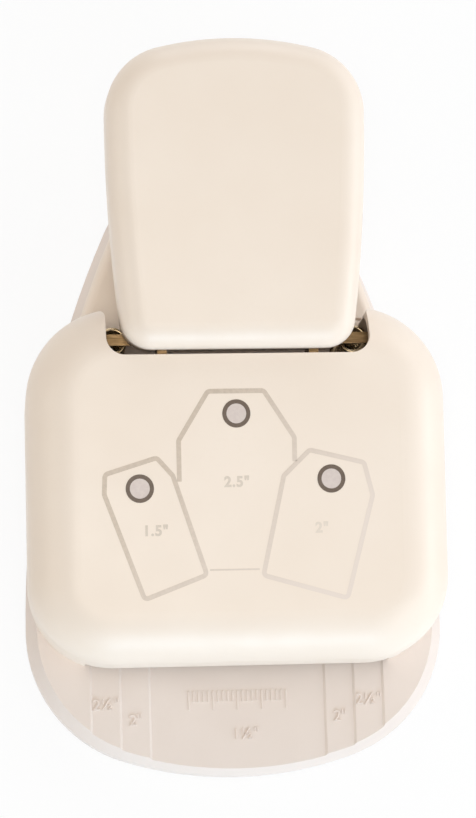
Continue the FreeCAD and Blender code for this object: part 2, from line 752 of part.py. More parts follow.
def make_stack():
    """Die plate, slot spacers, paper stop and guide plate, with their screws."""
    die = block("die_block", ("-stack_half_width", "stack_half_width"), ("die_front", "stack_rear"),
                ("die_under", "channel_floor"))
    guide = doc.addObject("PartDesign::Body", "guide_block")
    sketch = sketch_in(guide, "guide_sketch", "XY_Plane", "guide_under")
    draw_rounded_rectangle(sketch, "stack_half_width", "guide_front", "stack_rear", "guide_corner",
                           "guide_rear_corner")
    pad(guide, sketch, "guide_thick")
    die_holes = tool_openings("die", "die_clearance", ("die_under - overcut", "channel_floor + overcut"))
    guide_holes = tool_openings("guide", "die_clearance", ("guide_under - overcut", "guide_top + overcut"))
    stop_half = "cutter_outer + 2 * die_clearance"
    layer = ("channel_floor", "guide_under")
    through = ("die_under - overcut", "guide_top + overcut")
    screws = []
    for side, sign in SIDES:
        x = "%s * post_x" % sign
        strip_holes = []
        for holes, piece in ((die_holes, "die"), (guide_holes, "guide"), (strip_holes, "spacer")):
            for name, y in (("front", STACK_FRONT[1]), ("rear", STACK_REAR[1])):
                holes.append(screw_hole("%s_screw_hole_%s_%s" % (piece, name, side), x, y, through))
            holes.append(upright("%s_post_hole_%s" % (piece, side), "post_radius + running_clearance", x,
                                 "bar_rest_y", through))
        for name, y in (("front", STACK_FRONT[1]), ("rear", STACK_REAR[1])):
            guide_holes.append(sink_down("guide_sink_%s_%s" % (name, side), x, y, "guide_top"))
            screws.append(screw_down("stack_screw_%s_%s" % (name, side), x, y, "guide_top", "blind_tip"))
        guide_holes.append(screw_hole("guide_bracket_hole_" + side, x, BRACKET_SCREW[1], through))
        strip = block("spacer_strip_" + side, span(sign, stop_half, "stack_half_width"),
                      ("die_front", "stack_rear"), layer)
        node(cut("spacer_" + side, strip, strip_holes), "slot_spacer_" + side)
    node(cut("die", die, die_holes), "die_plate")
    node(cut("guide", guide, guide_holes), "guide_plate")
    stop_y = ("cutter_rear + die_clearance", "stack_rear")
    node(block("stop", ("-(%s)" % stop_half, stop_half), stop_y, layer), "paper_stop")
    node(group("screws_of_stack", screws), "stack_screws")


def make_posts():
    """The head's two guide posts, with the clips that stop it at the top."""
    clip_low = "head_top + boss_rise + side_gap"
    clip_z = (clip_low, clip_low + " + clip_width")
    posts = []
    clips = []
    for tag, sign, x, y in places("post", ("post_x", "bar_rest_y")):
        posts.append(upright("guide_" + tag, "post_radius", x, y, ("die_under", clip_z[1] + " + clip_rim")))
        rim = upright("clip_rim_" + tag, "post_radius + clip_rim", x, y, clip_z)
        eye = upright("clip_eye_" + tag, "post_radius + running_clearance", x, y, clip_z)
        clips.append(cut("clip_" + tag, rim, [eye]))
    node(group("posts", posts), "guide_posts")
    node(group("clips_of_posts", clips), "post_clips")


def make_pivot():
    """Brackets on the guide plate, the pivot pin, its sleeve and clips."""
    inner = "arm_outer + side_gap"
    outer = "arm_outer + side_gap + bracket_thick"
    depth = ("pivot_y - bracket_crown", "pivot_y + bracket_crown")
    foot_z = ("guide_top", "guide_top + bracket_thick")
    screws = []
    clips = []
    for tag, sign, x, y in places("bracket", BRACKET_SCREW):
        plate = block(tag + "_plate", span(sign, inner, outer), depth, ("guide_top", "pivot_z"))
        crown = crossbar(tag + "_crown", "bracket_crown", span(sign, inner, outer), "pivot_y", "pivot_z")
        foot = block(tag + "_foot", span(sign, inner, "stack_half_width"), depth, foot_z)
        eye = crossbar(tag + "_eye", "pivot_radius + running_clearance", span(sign, "arm_inner", "post_x"),
                       "pivot_y", "pivot_z")
        hole = screw_hole(tag + "_hole", x, y, ("guide_top - overcut", foot_z[1] + " + overcut"))
        node(cut(tag, fuse(tag + "_whole", [plate, crown, foot]), [eye, hole]), "pivot_" + tag)
        head_z = (foot_z[1], foot_z[1] + " + screw_head_height")
        head = upright(tag + "_screw_head", "screw_head_radius", x, y, head_z)
        shank = upright(tag + "_screw_shank", "screw_radius", x, y, ("blind_tip", foot_z[1]))
        screws.append(fuse(tag + "_screw", [head, shank]))
        ring = span(sign, outer + " + side_gap", outer + " + side_gap + clip_width")
        rim = crossbar(tag + "_clip_rim", "pivot_radius + clip_rim", ring, "pivot_y", "pivot_z")
        bore = crossbar(tag + "_clip_bore", "pivot_radius + running_clearance", ring, "pivot_y", "pivot_z")
        clips.append(cut(tag + "_clip", rim, [bore]))
    node(group("screws_of_brackets", screws), "bracket_screws")
    node(group("clips_of_pin", clips), "pivot_clips")
    reach = outer + " + side_gap + clip_width + overcut"
    node(crossbar("pin", "pivot_radius", ("-(%s)" % reach, reach), "pivot_y", "pivot_z"), "pivot_pin")
    width = ("-arm_inner + side_gap", "arm_inner - side_gap")
    tube = crossbar("sleeve_tube", "pivot_radius + sleeve_wall", width, "pivot_y", "pivot_z")
    bore = crossbar("sleeve_bore", "pivot_radius + running_clearance", width, "pivot_y", "pivot_z")
    node(cut("sleeve", tube, [bore]), "pivot_sleeve")


def make_lever():
    """The bent steel lever, drawn level, with its press bar and spring bridge."""
    bar_y = "pivot_y + bar_reach"
    bar_end = "bar_radius - bar_shoulder"
    profile = [
        ("pivot_y", "arm_under"),
        ("handle_front + handle_wall", "arm_under"),
        ("web_front - handle_wall", "web_under"),
        ("arm_rear", "web_under"),
        ("arm_rear", "web_under + arm_height"),
        ("web_front - handle_wall", "web_under + arm_height"),
        ("handle_front + handle_wall", "arm_top"),
        ("pivot_y", "arm_top"),
    ]
    arms = []
    holes = []
    for side, sign in SIDES:
        x = span(sign, "arm_inner", "arm_outer")
        arms.append(side_prism("arm_" + side, profile, x))
        arms.append(crossbar("arm_nose_" + side, "arm_nose", x, "pivot_y", "pivot_z"))
        eye = "pivot_radius + running_clearance"
        holes.append(crossbar("arm_eye_" + side, eye, x, "pivot_y", "pivot_z"))
        holes.append(crossbar("arm_bar_eye_" + side, bar_end + " + screw_clearance", x, bar_y, "pivot_z"))
    arms.append(block("lever_web", ("-arm_inner - overcut", "arm_inner + overcut"),
                      ("web_front", "arm_rear"), ("web_under", "web_under + web_thick")))
    through = ("web_under - overcut", "web_under + web_thick + overcut")
    for name, place in (("front", HANDLE_FRONT_SCREW), ("rear", HANDLE_REAR_SCREW)):
        for tag, sign, x, y in places(name, place):
            holes.append(screw_hole("web_hole_" + tag, x, y, through))
    tilt(node(cut("lever", fuse("lever_whole", arms), holes), "lever_frame"))
    middle = crossbar("bar_middle", "bar_radius", ("-arm_inner", "arm_inner"), bar_y, "pivot_z")
    reach = ("-arm_outer - bar_shoulder", "arm_outer + bar_shoulder")
    ends = crossbar("bar_ends", bar_end, reach, bar_y, "pivot_z")
    tilt(node(fuse("bar", [middle, ends]), "press_bar"))
    depth = ("spring_level_y - bridge_width / 2", "spring_level_y + bridge_width / 2")
    strip = block("bridge_strip", ("-bridge_half_length", "bridge_half_length"), depth,
                  ("bridge_under", "arm_under"))
    tilt(node(group("bridge", [strip]), "spring_bridge"))


def make_handle():
    """The hollow paddle, its closing plate and screws, drawn level."""
    inner_top = "handle_top - handle_wall"
    outer = handle_slab("handle_outer", "0", ("handle_under", "handle_top"))
    round_top(outer, "handle_round", "handle_under")
    core = handle_slab("handle_core", "handle_wall", ("handle_under - overcut", inner_top))
    round_top(core, "handle_round - handle_wall", "handle_under")
    hollows = [core]
    for side, sign in SIDES:
        slot_x = span(sign, "arm_inner - side_gap", "arm_outer + side_gap")
        slot_y = ("handle_front - overcut", "handle_front + handle_wall + overcut")
        slot_z = ("handle_under - overcut", "arm_top + side_gap")
        hollows.append(block("handle_slot_" + side, slot_x, slot_y, slot_z))
    bosses = []
    holes = []
    plate_holes = []
    screws = []
    for name, place in (("front", HANDLE_FRONT_SCREW), ("rear", HANDLE_REAR_SCREW)):
        for tag, sign, x, y in places(name, place):
            bosses.append(upright("handle_boss_" + tag, "post_boss_radius", x, y,
                                  ("web_under + web_thick", inner_top + " + overcut")))
            holes.append(screw_hole("handle_hole_" + tag, x, y, ("web_under", inner_top)))
            through = ("handle_under", "web_under + overcut")
            plate_holes.append(screw_hole("under_hole_" + tag, x, y, through))
            plate_holes.append(sink_up("under_sink_" + tag, x, y, "under_plate_low"))
            tip = inner_top + " - side_gap"
            screws.append(screw_up("handle_screw_" + tag, x, y, "under_plate_low", tip))
    shell = cut("handle_hollow", outer, hollows)
    tilt(node(cut("handle", fuse("handle_bossed", [shell] + bosses), holes), "handle_shell"))
    plate = handle_slab("under_slab", "handle_wall + fit_gap", ("under_plate_low", "web_under"))
    front = block("under_front", ("-handle_half_width", "handle_half_width"),
                  ("handle_front - overcut", "web_front - side_gap"),
                  ("under_plate_low - overcut", "web_under + overcut"))
    tilt(node(cut("under", plate, [front] + plate_holes), "handle_underplate"))
    tilt(node(group("screws_of_handle", screws), "handle_screws"))


def head_lug(side, sign):
    """An upright lug on the head and the slot in it for the press bar."""
    half = "bar_radius + lug_wall + slot_span"
    lug = block("head_lug_" + side, span(sign, "lug_inner", "lug_inner + lug_thick"),
                ("bar_rest_y - (%s)" % half, "bar_rest_y + (%s)" % half),
                ("head_top - overcut", "bar_rest_z + bar_radius + lug_wall"))
    through = span(sign, "lug_inner - overcut", "lug_inner + lug_thick + overcut")
    eye = "bar_radius + slot_clearance"
    ends = ("bar_rest_y - slot_span", "bar_rest_y + slot_span")
    height = ("bar_rest_z - (%s)" % eye, "bar_rest_z + (%s)" % eye)
    slot = [block("head_slot_" + side, through, ends, height)]
    for name, y in (("front", ends[0]), ("rear", ends[1])):
        slot.append(crossbar("head_slot_%s_%s" % (name, side), eye, through, y, "bar_rest_z"))
    return lug, slot


def make_head():
    """The sliding head with its corner cutters, hole punch and screws, at the top of its travel."""
    half = "cutter_outer + head_margin"
    boss_top = "head_top + boss_rise"
    slab_y = ("cutter_front - 2 * head_margin", "cutter_rear + 2 * head_margin")
    solids = [block("head_slab", ("-(%s)" % half, half), slab_y, ("head_under", "head_top"))]
    through = ("head_under - overcut", "head_top + overcut")
    hole_end = "tip + cutter_floor"
    cap_low = "head_top - pin_cap_height"
    pin_at = ("0", "punch_pin_y")
    holes = [
        upright("head_pin_hole", "punch_pin_radius + screw_clearance", *pin_at, through),
        upright("head_pin_sink", "pin_cap_radius + screw_clearance", *pin_at, (cap_low, through[1])),
    ]
    screws = []
    for side, sign in SIDES:
        x = "%s * post_x" % sign
        solids.append(upright("head_boss_" + side, "boss_radius", x, "bar_rest_y", ("head_under", boss_top)))
        holes.append(upright("head_post_hole_" + side, "post_radius + running_clearance", x, "bar_rest_y",
                             ("head_under - overcut", boss_top + " + overcut")))
        lug, slot = head_lug(side, sign)
        solids.append(lug)
        holes += slot
        blind = []
        for name, place in (("outer", HEAD_OUTER), ("inner", HEAD_INNER)):
            tag = "%s_%s" % (name, side)
            spot = ("%s * (%s)" % (sign, place[0]), place[1])
            holes.append(screw_hole("head_hole_" + tag, *spot, ("head_under - overcut", "head_top")))
            holes.append(sink_down("head_sink_" + tag, *spot, "head_top"))
            blind.append(screw_hole("cutter_hole_" + tag, *spot, (hole_end, "head_under + overcut")))
            screws.append(screw_down("cutter_screw_" + tag, *spot, "head_top", hole_end + " + fit_gap"))
        blade = prism("cutter_blade_" + side, cutter_corners(sign, "0"), ("tip", "head_under"))
        node(cut("cutter_" + side, blade, blind), "corner_cutter_" + side)
    node(cut("head", fuse("head_whole", solids), holes), "punch_head")
    node(group("screws_of_cutters", screws), "cutter_screws")
    shank = upright("pin_shank", "punch_pin_radius", *pin_at, ("tip", cap_low))
    cap = upright("pin_cap", "pin_cap_radius", *pin_at, (cap_low, "head_top"))
    node(fuse("punch_pin", [shank, cap]), "hole_punch_pin")


def cushion(name, inset, low):
    """The cover's rounded block, or its core drawn inset from every face."""
    body = doc.addObject("PartDesign::Body", name)
    sketch = sketch_in(body, name + "_sketch", "XY_Plane", low)
    less = " - (%s)" % inset
    more = " + (%s)" % inset
    draw_rounded_rectangle(sketch, "cover_half_width" + less, "cover_front" + more, "cover_rear" + less,
                           "cover_front_corner" + less, "cover_rear_corner" + less)
    pad(body, sketch, "cover_rear_height + overcut - (%s)" % low)
    slope = sketch_in(body, name + "_slope_sketch", "YZ_Plane", "-cover_half_width - overcut")
    high = "cover_rear_height - (%s) / cos(cover_slope) + overcut * tan(cover_slope)" % inset
    reach = "cover_rear - cover_front + 2 * overcut"
    draw_corners(slope, [
        ("cover_front - overcut", "%s - (%s) * tan(cover_slope)" % (high, reach)),
        ("cover_rear + overcut", high),
        ("cover_rear + overcut", "cover_rear_height + 2 * overcut"),
        ("cover_front - overcut", "cover_rear_height + 2 * overcut"),
    ])
    doc.recompute()
    before = body.Tip.Shape.Volume
    pocket = body.newObject("PartDesign::Pocket", name + "_slope")
    pocket.Profile = slope
    pocket.Reversed = True
    bind(pocket, "Length", "2 * (cover_half_width + overcut)")
    doc.recompute()
    if not pocket.Shape.Volume < before:
        raise ValueError(name + " keeps a level top")
    round_top(body, "cover_round" + less, "deck_top")
    return body


def rounded_pad(name, outline, z):
    """A pad of a rounded rectangle: half width, front, rear, front corner and rear corner."""
    body = doc.addObject("PartDesign::Body", name)
    sketch = sketch_in(body, name + "_sketch", "XY_Plane", z[0])
    draw_rounded_rectangle(sketch, *outline)
    pad(body, sketch, "(%s) - (%s)" % (z[1], z[0]))
    return body


def horn_corners():
    """What rounds the upright edges where the notch meets the cover's rear."""
    tools = []
    y = "cover_rear - horn_round - side_gap"
    height = ("deck_top", "cover_rear_height + overcut")
    for tag, sign, x, centre_y in places("horn", ("notch_half_width + horn_round", y)):
        width = span(sign, "notch_half_width - overcut", "notch_half_width + horn_round")
        corner = block(tag + "_corner", width, (centre_y, "cover_rear + overcut"), height)
        kept = upright(tag + "_kept", "horn_round", x, centre_y, height)
        tools.append(cut(tag + "_tool", corner, [kept]))
    return tools


def make_cover():
    """The cushion-shaped shell with its notch for the handle, paper mouth and screw posts."""
    floor = "platform_top + cover_wall"
    below = "platform_top - overcut"
    outline = ("notch_half_width", "notch_front", "cover_rear + 2 * notch_corner", "notch_corner",
               "notch_corner")
    notch = rounded_pad("cover_notch", outline, ("deck_top", "cover_rear_height + overcut"))
    notched = cut("cover_notched", cushion("cover_outer", "0", "platform_top"), [notch] + horn_corners())
    inside_walls = rounded_pad("cover_low_core", (
        "cover_half_width - cover_wall", "cover_front + cover_wall", "cover_rear - cover_wall",
        "cover_front_corner - cover_wall", "cover_rear_corner - cover_wall"), (below, floor + " + overcut"))
    inside_base = base_slab("cover_low_base", "base_wall + rim_reach", (below, floor + " + overcut"))
    low = shared("cover_low", [inside_walls, inside_base])
    posts = []
    holes = []
    screws = []
    for name, place in (("front", CASE_FRONT), ("rear", CASE_REAR)):
        for tag, sign, x, y in places(name, place):
            height = (below, "cover_rear_height")
            posts.append(upright("cover_post_" + tag, "case_post_radius", x, y, height))
            holes.append(screw_hole("cover_hole_" + tag, x, y, (below, "pivot_z")))
            screws.append(screw_up("case_screw_" + tag, x, y, "foot_height", "pivot_z - overcut"))
    kept = fuse("cover_posts", posts)
    high_hollow = cut("cover_high_hollow", cushion("cover_core", "cover_wall", floor), [kept])
    low_hollow = cut("cover_low_hollow", low, [kept])
    mouth_y = ("cover_front - overcut", "cover_front + cover_front_corner")
    mouth = block("cover_mouth", ("-mouth_half_width", "mouth_half_width"), mouth_y,
                  (below, "platform_top + mouth_height"))
    room = block("cover_stack_room", ("-stack_half_width - side_gap", "stack_half_width + side_gap"),
                 ("guide_front - side_gap", "stack_rear + side_gap"), (below, floor + " + overcut"))
    lip_room = block("cover_lip_room", ("-notch_half_width", "notch_half_width"),
                     ("cover_rear - cover_wall - overcut", "cover_rear + overcut"),
                     ("deck_top - deck_wall - fit_gap", "deck_top + overcut"))
    shell = cut("cover_shell", notched, [high_hollow, low_hollow, mouth, room, lip_room])
    node(cut("cover", shell, holes), "top_cover")
    node(group("screws_of_case", screws), "case_screws")


def deck_slab(name, inset, front, z):
    """The tail's part of the base outline, drawn inset and cut off square in front."""
    whole = base_slab(name + "_whole", inset, z)
    ahead = block(name + "_ahead", ("-base_half_width", "base_half_width"),
                  ("-base_front_reach - overcut", front), (z[0] + " - overcut", z[1] + " + overcut"))
    return cut(name, whole, [ahead])


def make_deck():
    """The tail's own cover, its lip over the notch, its screws and the handle's bumpers."""
    front = "cover_rear + side_gap"
    kept = deck_slab("deck_outer", "deck_inset", front, ("platform_top", "deck_top"))
    rounded = doc.addObject("Part::Fillet", "deck_rounded")
    rounded.Base = kept
    doc.recompute()
    radius = size("deck_round")
    rounded.Edges = [(int(name[4:]), radius, radius) for name in top_edges(kept.Shape, size("platform_top"))
                     if kept.Shape.getElement(name).BoundBox.YLength > radius]
    hollow = deck_slab("deck_core", "deck_inset + deck_wall", front + " + deck_wall",
                       ("platform_top - overcut", "deck_top - deck_wall"))
    shell = cut("deck_shell", rounded, [hollow])
    middle = "deck_top - deck_wall / 2"
    bosses = []
    holes = []
    screws = []
    for tag, sign, x, y in places("side", DECK_SIDE) + [("tail", "1") + DECK_TAIL]:
        bosses.append(upright("deck_post_" + tag, "post_boss_radius", x, y, ("platform_top", middle)))
        holes.append(screw_hole("deck_hole_" + tag, x, y, ("platform_top - overcut", middle)))
        screws.append(screw_up("deck_screw_" + tag, x, y, "foot_height", middle + " - fit_gap"))
    lip_half = "notch_half_width - fit_gap"
    lip = block("deck_lip", ("-(%s)" % lip_half, lip_half),
                ("cover_rear - cover_wall", front + " + deck_wall"), ("deck_top - deck_wall", "deck_top"))
    node(cut("deck", fuse("deck_bossed", [shell, lip] + bosses), holes), "rear_deck")
    node(group("screws_of_deck", screws), "deck_screws")
    bumpers = [upright("bumper_" + tag, "bumper_radius", x, y, ("deck_top", "under_plate_low - side_gap"))
               for tag, sign, x, y in places("deck", BUMPER)]
    node(group("bumpers", bumpers), "deck_bumpers")


def arc_middle(start, tangent, end):
    """The middle point of the arc that leaves start along tangent and ends at end."""
    chord = end - start
    length = chord.Length
    along = chord * (1 / length)
    across = tangent - along * tangent.dot(along)
    half_turn = math.atan2(across.Length, tangent.dot(along))
    return (start + end) * 0.5 + across.normalize() * (length / 2 * math.tan(half_turn / 2))


def biarc(start, leave, end, arrive):
    """Two arcs from start to end with the given directions at their ends."""
    chord = end - start
    both = leave + arrive
    twist = 2 * (1 - leave.dot(arrive))
    reach = (math.sqrt(chord.dot(both) ** 2 + twist * chord.dot(chord)) - chord.dot(both)) / twist
    joint = (start + end + (leave - arrive) * reach) * 0.5
    turn = (chord - both * reach).normalize()
    first = Part.Arc(start, arc_middle(start, leave, joint), joint)
    second = Part.Arc(joint, arc_middle(joint, turn, end), end)
    return [first.toShape(), second.toShape()]


def coil_path(radius, pitch, turns, lead):
    """A helix of biarcs, four to the turn, with a straight lead along the wire at each end."""
    step = math.pi / 2
    rise = pitch / 4

    def point(count):
        return V(radius * math.cos(count * step), radius * math.sin(count * step), count * rise)

    def heading(count):
        return V(-radius * math.sin(count * step), radius * math.cos(count * step), rise / step).normalize()

    count = int(round(turns * 4))
    edges = [Part.LineSegment(point(0) - heading(0) * lead, point(0)).toShape()]
    for index in range(count):
        edges += biarc(point(index), heading(index), point(index + 1), heading(index + 1))
    edges.append(Part.LineSegment(point(count), point(count) + heading(count) * lead).toShape())
    return Part.Wire(edges)


def least_gap(path, turn_length, wire):
    """The smallest distance between wire surfaces, from points a half turn or more apart."""
    spacing = wire / 3
    points = path.discretize(Distance=spacing)
    apart = int(turn_length / 2 / spacing)
    pairs = ((a, b) for a in range(len(points)) for b in range(a + apart, len(points)))
    return min((points[a] - points[b]).Length for a, b in pairs) - wire


def make_springs():
    """Two return springs between the base and the bridge, each one unbroken wire."""
    wire = size("spring_wire")
    radius = size("spring_mean_radius")
    turns = size("spring_turns")
    foot = size("spring_foot")
    pitch = (size("spring_head") - foot - 2 * wire) / turns
    path = coil_path(radius, pitch, turns, wire)
    start = path.Vertexes[0].Point
    profile = Part.Wire([Part.Circle(start, path.Edges[0].tangentAt(0), wire / 2).toShape()])
    solid = path.makePipeShell([profile], True, False)
    print("spring volume %.2f, wire length times section %.2f mm3" % (
        solid.Volume, path.Length * math.pi * wire ** 2 / 4))
    print("spring least gap to itself %.2f mm" % least_gap(path, 2 * math.pi * radius, wire))
    for side, sign in SIDES:
        spring = doc.addObject("Part::Feature", "spring_" + side)
        spring.Shape = solid
        place = V(int(sign) * size("spring_x"), size("spring_y"), foot + wire)
        spring.Placement = FreeCAD.Placement(place, FreeCAD.Rotation())
        node(spring, "return_spring_" + side)


make_base()
make_bottom()
make_stack()
make_posts()
make_pivot()
make_lever()
make_handle()
make_head()
make_cover()
make_deck()
make_springs()
doc.recompute()

for thing in doc.Objects:
    if "Invalid" in thing.State or "Error" in thing.State:
        raise ValueError("%s did not build: %s" % (thing.Label, thing.State))
for thing in nodes:
    if thing.Shape.isNull() or not thing.Shape.isValid():
        raise ValueError(thing.Label + " has no valid shape")

os.makedirs("parts", exist_ok=True)
for thing in nodes:
    thing.Shape.exportStep("parts/%s.step" % thing.Label)
    print("%s: %d solids, %.1f mm3" % (thing.Label, len(thing.Shape.Solids), thing.Shape.Volume))
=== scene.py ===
import json
import math

import bmesh
import bpy
from mathutils import Matrix, Vector
from mathutils.geometry import tessellate_polygon


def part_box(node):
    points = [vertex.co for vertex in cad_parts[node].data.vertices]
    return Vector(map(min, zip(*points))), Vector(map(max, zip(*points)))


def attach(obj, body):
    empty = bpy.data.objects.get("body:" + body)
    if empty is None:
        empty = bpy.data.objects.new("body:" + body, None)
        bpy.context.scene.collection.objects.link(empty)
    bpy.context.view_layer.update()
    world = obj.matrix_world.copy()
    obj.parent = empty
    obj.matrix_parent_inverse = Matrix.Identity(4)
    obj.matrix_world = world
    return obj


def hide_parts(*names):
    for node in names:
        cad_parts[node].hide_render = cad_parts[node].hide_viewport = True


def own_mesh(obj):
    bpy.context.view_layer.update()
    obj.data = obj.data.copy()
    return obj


# Looks of the tag punch. Sizes below are millimetres in the object's own frame, and become
# metres where a mesh is made: X to the right, -Y to the paper entry, +Z up.
MM = 0.001

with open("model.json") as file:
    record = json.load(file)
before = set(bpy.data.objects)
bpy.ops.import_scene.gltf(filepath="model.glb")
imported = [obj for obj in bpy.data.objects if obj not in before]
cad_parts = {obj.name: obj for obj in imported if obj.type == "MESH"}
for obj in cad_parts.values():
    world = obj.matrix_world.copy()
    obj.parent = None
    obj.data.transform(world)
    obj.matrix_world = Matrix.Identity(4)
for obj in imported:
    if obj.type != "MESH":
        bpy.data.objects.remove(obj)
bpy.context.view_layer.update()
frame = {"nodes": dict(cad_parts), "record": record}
nodes = frame["nodes"]
record = frame["record"]

# The camera looks down on the punch from in front and a little to the left, turned so that the
# paper entry is at the bottom of the picture.
AZIMUTH = math.radians(-27.08)
ELEVATION = math.radians(78.0)
ROLL = math.radians(25.80)
DISTANCE = 600
TARGET = Vector((1.40, 1.747, 15.0))
FOCAL_PIXELS = 2742.7
IMAGE_HEIGHT = 818
SENSOR = 36
CLIP_START = 0.01
CLIP_END = 20

WHITE = (1, 1, 1, 1)
WORLD_LEVEL = 0.36
AIM = (0, 0, 0.02)
COOL = (0.75, 1.04, 1.30)
NEUTRAL = (0.95, 1.0, 1.05)
WARM = (1.1, 1.0, 0.85)
# Each lamp: place in metres, width, watts and colour. All point at AIM.
LAMPS = {
    "front_lamp": ((0.05, -0.75, 0.55), 0.60, 0.28, (1, 1, 1)),
    "low_front_lamp": ((0.05, -0.85, 0.22), 0.50, 2.59, COOL),
    "right_lamp": ((0.75, -0.10, 0.22), 0.40, 1.60, NEUTRAL),
    "near_right_lamp": ((0.30, -0.32, 0.30), 0.20, 0.40, (1, 1, 1)),
    "rear_lamp": ((0.05, 0.80, 0.38), 0.60, 2.01, NEUTRAL),
    "rear_right_lamp": ((0.60, 0.45, 0.30), 0.60, 1.29, NEUTRAL),
    "left_lamp": ((-0.65, -0.05, 0.35), 0.50, 0.85, WARM),
    "overhead_lamp": ((-0.09, -0.176, 0.929), 0.30, 1.58, WARM),
}
FLOOR_REACH = 3.0
FLOOR_GLOW = 0.88
FLOOR_TONES = ((0.90, 0.90, 0.90, 1), (0.93, 0.93, 0.93, 1))
FLOOR_CLOUDS = 3

lever_joint = record["behaviour"]["joints"][0]
PIVOT = Vector(lever_joint["pos_m"]) / MM
PRESS_ANGLE = math.radians(lever_joint["range_deg"][1])

COVER_SLOPE = math.radians(6.0)
COVER_REAR_HEIGHT = 37.4
COVER_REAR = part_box("top_cover")[1][1] / MM

# Heights of the front platform and its three channels, and the half widths of the channels.
PLATFORM = 9.0
CHANNEL_DROP = 0.4
CHANNELS = (31.75, 25.4, 19.05)


def linear(red, green, blue):
    """An sRGB colour, 0 to 255, as the shader takes it."""
    def one(value):
        value = value / 255
        return value / 12.92 if value <= 0.04045 else ((value + 0.055) / 1.055) ** 2.4
    return (one(red), one(green), one(blue), 1.0)


def show(thing):
    bpy.context.scene.collection.objects.link(thing)
    return thing


def make_camera():
    back = Vector((math.sin(AZIMUTH) * math.cos(ELEVATION),
                   -math.cos(AZIMUTH) * math.cos(ELEVATION),
                   math.sin(ELEVATION)))
    right = (-back).cross(Vector((0, 0, 1))).normalized()
    up = right.cross(-back)
    across = right * math.cos(ROLL) + up * math.sin(ROLL)
    above = up * math.cos(ROLL) - right * math.sin(ROLL)
    turn = Matrix((across, above, back)).transposed()
    data = bpy.data.cameras.new("camera")
    data.sensor_width = SENSOR
    data.lens = FOCAL_PIXELS * SENSOR / IMAGE_HEIGHT
    data.clip_start = CLIP_START
    data.clip_end = CLIP_END
    camera = show(bpy.data.objects.new("camera", data))
    camera.matrix_world = Matrix.Translation((TARGET + back * DISTANCE) * MM) @ turn.to_4x4()
    bpy.context.scene.camera = camera


def seen_directly(tree):
    """1 for rays that come from the camera or through a mirror or glass."""
    rays = tree.nodes.new("ShaderNodeLightPath")
    total = rays.outputs["Is Camera Ray"]
    for name in ("Is Glossy Ray", "Is Transmission Ray"):
        most = tree.nodes.new("ShaderNodeMath")
        most.operation = "MAXIMUM"
        tree.links.new(total, most.inputs[0])
        tree.links.new(rays.outputs[name], most.inputs[1])
        total = most.outputs[0]
    return total


def make_world():
    world = bpy.data.worlds.new("studio")
    world.use_nodes = True
    bpy.context.scene.world = world
    tree = world.node_tree
    soft = tree.nodes["Background"]
    soft.inputs["Color"].default_value = WHITE
    soft.inputs["Strength"].default_value = WORLD_LEVEL
    white = tree.nodes.new("ShaderNodeBackground")
    white.inputs["Color"].default_value = WHITE
    white.inputs["Strength"].default_value = 1.0
    blend = tree.nodes.new("ShaderNodeMixShader")
    tree.links.new(seen_directly(tree), blend.inputs[0])
    tree.links.new(soft.outputs[0], blend.inputs[1])
    tree.links.new(white.outputs[0], blend.inputs[2])
    tree.links.new(blend.outputs[0], tree.nodes["World Output"].inputs["Surface"])


def make_lamps():
    for name, (place, width, watts, colour) in LAMPS.items():
        data = bpy.data.lights.new(name, "AREA")
        data.shape = "DISK"
        data.size = width
        data.energy = watts
        data.color = colour
        lamp = show(bpy.data.objects.new(name, data))
        lamp.location = place
        lamp.rotation_euler = (Vector(AIM) - Vector(place)).to_track_quat("-Z", "Y").to_euler()


class Tree:
    """A material and a short way to write its nodes."""

    def __init__(self, name):
        self.material = bpy.data.materials.new(name)
        self.material.use_nodes = True
        self.tree = self.material.node_tree
        self.shader = self.tree.nodes["Principled BSDF"]
        self.output = self.tree.nodes["Material Output"]
        self.place = self.add("ShaderNodeTexCoord").outputs["Object"]

    def add(self, kind, **settings):
        node = self.tree.nodes.new(kind)
        for key, value in settings.items():
            setattr(node, key, value)
        return node

    def put(self, source, socket):
        """Links a socket, or sets a plain value."""
        if isinstance(source, bpy.types.NodeSocket):
            self.tree.links.new(source, socket)
        else:
            socket.default_value = source

    def noise(self, scale, detail=2.0, rough=0.5, place=None):
        node = self.add("ShaderNodeTexNoise")
        node.inputs["Scale"].default_value = scale
        node.inputs["Detail"].default_value = detail
        node.inputs["Roughness"].default_value = rough
        self.put(place or self.place, node.inputs["Vector"])
        return node.outputs["Fac"]

    def stretch(self, x, y, z):
        node = self.add("ShaderNodeMapping")
        node.inputs["Scale"].default_value = (x, y, z)
        self.put(self.place, node.inputs["Vector"])
        return node.outputs["Vector"]

    def spread(self, source, low, high, start=0.0, end=1.0):
        node = self.add("ShaderNodeMapRange")
        for name, value in (("From Min", start), ("From Max", end), ("To Min", low), ("To Max", high)):
            node.inputs[name].default_value = value
        self.put(source, node.inputs["Value"])
        return node.outputs["Result"]

    def mix(self, factor, first, second):
        node = self.add("ShaderNodeMix", data_type="RGBA")
        inputs = [socket for socket in node.inputs if socket.enabled]
        for socket, value in zip(inputs, (factor, first, second)):
            self.put(value, socket)
        return [socket for socket in node.outputs if socket.enabled][0]

    def bump(self, height, strength, distance, normal=None):
        node = self.add("ShaderNodeBump")
        node.inputs["Strength"].default_value = strength
        node.inputs["Distance"].default_value = distance
        self.put(height, node.inputs["Height"])
        if normal is not None:
            self.put(normal, node.inputs["Normal"])
        return node.outputs["Normal"]

    def set(self, name, value):
        self.put(value, self.shader.inputs[name])


